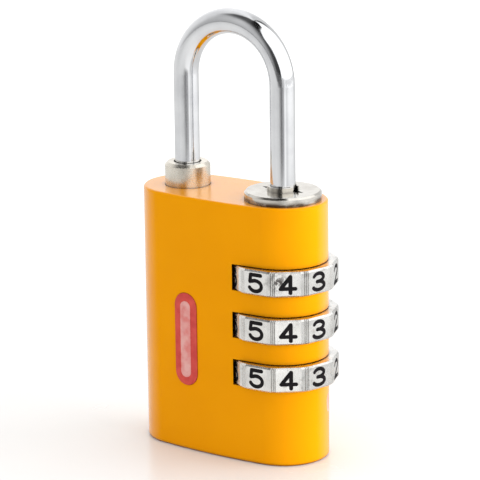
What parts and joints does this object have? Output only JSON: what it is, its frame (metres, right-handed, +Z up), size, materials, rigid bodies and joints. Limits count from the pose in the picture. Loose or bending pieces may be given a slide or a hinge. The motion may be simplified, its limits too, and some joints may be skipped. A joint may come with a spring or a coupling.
{
  "type": "combination padlock",
  "caption": "Oval-bodied luggage padlock with a round-wire shackle, stacked number dials at one end and a second keyed release under the toe.",
  "frame": {"origin": "centre of the casing's flat underside, midway between the two shackle legs, on the surface the lock stands on", "axes": "+X along the casing's length towards the end with the dials, -Y out of the front face with the inlay, +Z up out of the top towards the shackle"},
  "size_m": [0.0339, 0.017, 0.0706],
  "materials": {
    "painted_casing": "satin",
    "chrome_shackle": "polished",
    "polished_disc": "polished",
    "nickel_collar": "satin",
    "dial_metal": "worn nickel",
    "zinc_inner": "as cast",
    "spring_steel": "drawn wire",
    "brass_cylinder": "turned",
    "cover_zinc": "satin",
    "inlay_red": "gloss"
  },
  "bodies": {
    "casing_body": {"casing": "painted_casing", "bottom_cover": "cover_zinc", "cover_drive_pins": "cover_zinc", "face_inlay": "inlay_red", "lift_spring_seat": "spring_steel", "stack_support_tube": "zinc_inner", "leg_disc": "polished_disc", "stack_washer_lower": "brass_cylinder", "stack_washer_upper": "brass_cylinder", "guard_spring_spacer": "zinc_inner", "cylinder_housing": "brass_cylinder", "detent_ball_bottom": "spring_steel", "detent_spring_bottom": "spring_steel", "detent_ball_middle": "spring_steel", "detent_spring_middle": "spring_steel", "detent_ball_top": "spring_steel", "detent_spring_top": "spring_steel"},
    "shackle_body": {"shackle": "chrome_shackle", "leg_retaining_clip": "spring_steel", "lift_spring": "spring_steel"},
    "plug_body": {"key_plug": "brass_cylinder", "cam_pin": "spring_steel", "wafer_1": "brass_cylinder", "wafer_2": "brass_cylinder", "wafer_3": "brass_cylinder", "wafer_4": "brass_cylinder", "wafer_spring_1": "spring_steel", "wafer_spring_2": "spring_steel", "wafer_spring_3": "spring_steel", "wafer_spring_4": "spring_steel"},
    "collar_body": {"guard_collar": "nickel_collar", "guard_spring": "spring_steel"},
    "dial_bottom_body": {"dial_bottom": "dial_metal", "clutch_sleeve_bottom": "zinc_inner"},
    "dial_middle_body": {"dial_middle": "dial_metal", "clutch_sleeve_middle": "zinc_inner"},
    "dial_top_body": {"dial_top": "dial_metal", "clutch_sleeve_top": "zinc_inner"}
  },
  "joints": [
    {"name": "shackle_lift", "type": "slide", "parent": "casing_body", "child": "shackle_body", "axis": [0, 0, 1], "range_m": [0, 0.0077], "deforming": ["lift_spring"]},
    {"name": "dial_bottom_turn", "type": "hinge", "parent": "casing_body", "child": "dial_bottom_body", "pos_m": [0.00915, 0, 0.01455], "axis": [0, 0, 1], "continuous": true},
    {"name": "dial_middle_turn", "type": "hinge", "parent": "casing_body", "child": "dial_middle_body", "pos_m": [0.00915, 0, 0.02225], "axis": [0, 0, 1], "continuous": true},
    {"name": "dial_top_turn", "type": "hinge", "parent": "casing_body", "child": "dial_top_body", "pos_m": [0.00915, 0, 0.02995], "axis": [0, 0, 1], "continuous": true},
    {"name": "key_turn", "type": "hinge", "parent": "casing_body", "child": "plug_body", "pos_m": [-0.00915, 0, 0.01], "axis": [0, 0, 1], "range_deg": [0, 90]},
    {"name": "collar_drop", "type": "slide", "parent": "casing_body", "child": "collar_body", "axis": [0, 0, -1], "range_m": [0, 0.0037], "stiffness_N_per_m": 100, "springref_m": -0.0025, "deforming": ["guard_spring"]}
  ],
  "couplings": [
    {"joint": "key_turn", "follows": "collar_drop", "rad_per_m": 424.54}
  ]
}
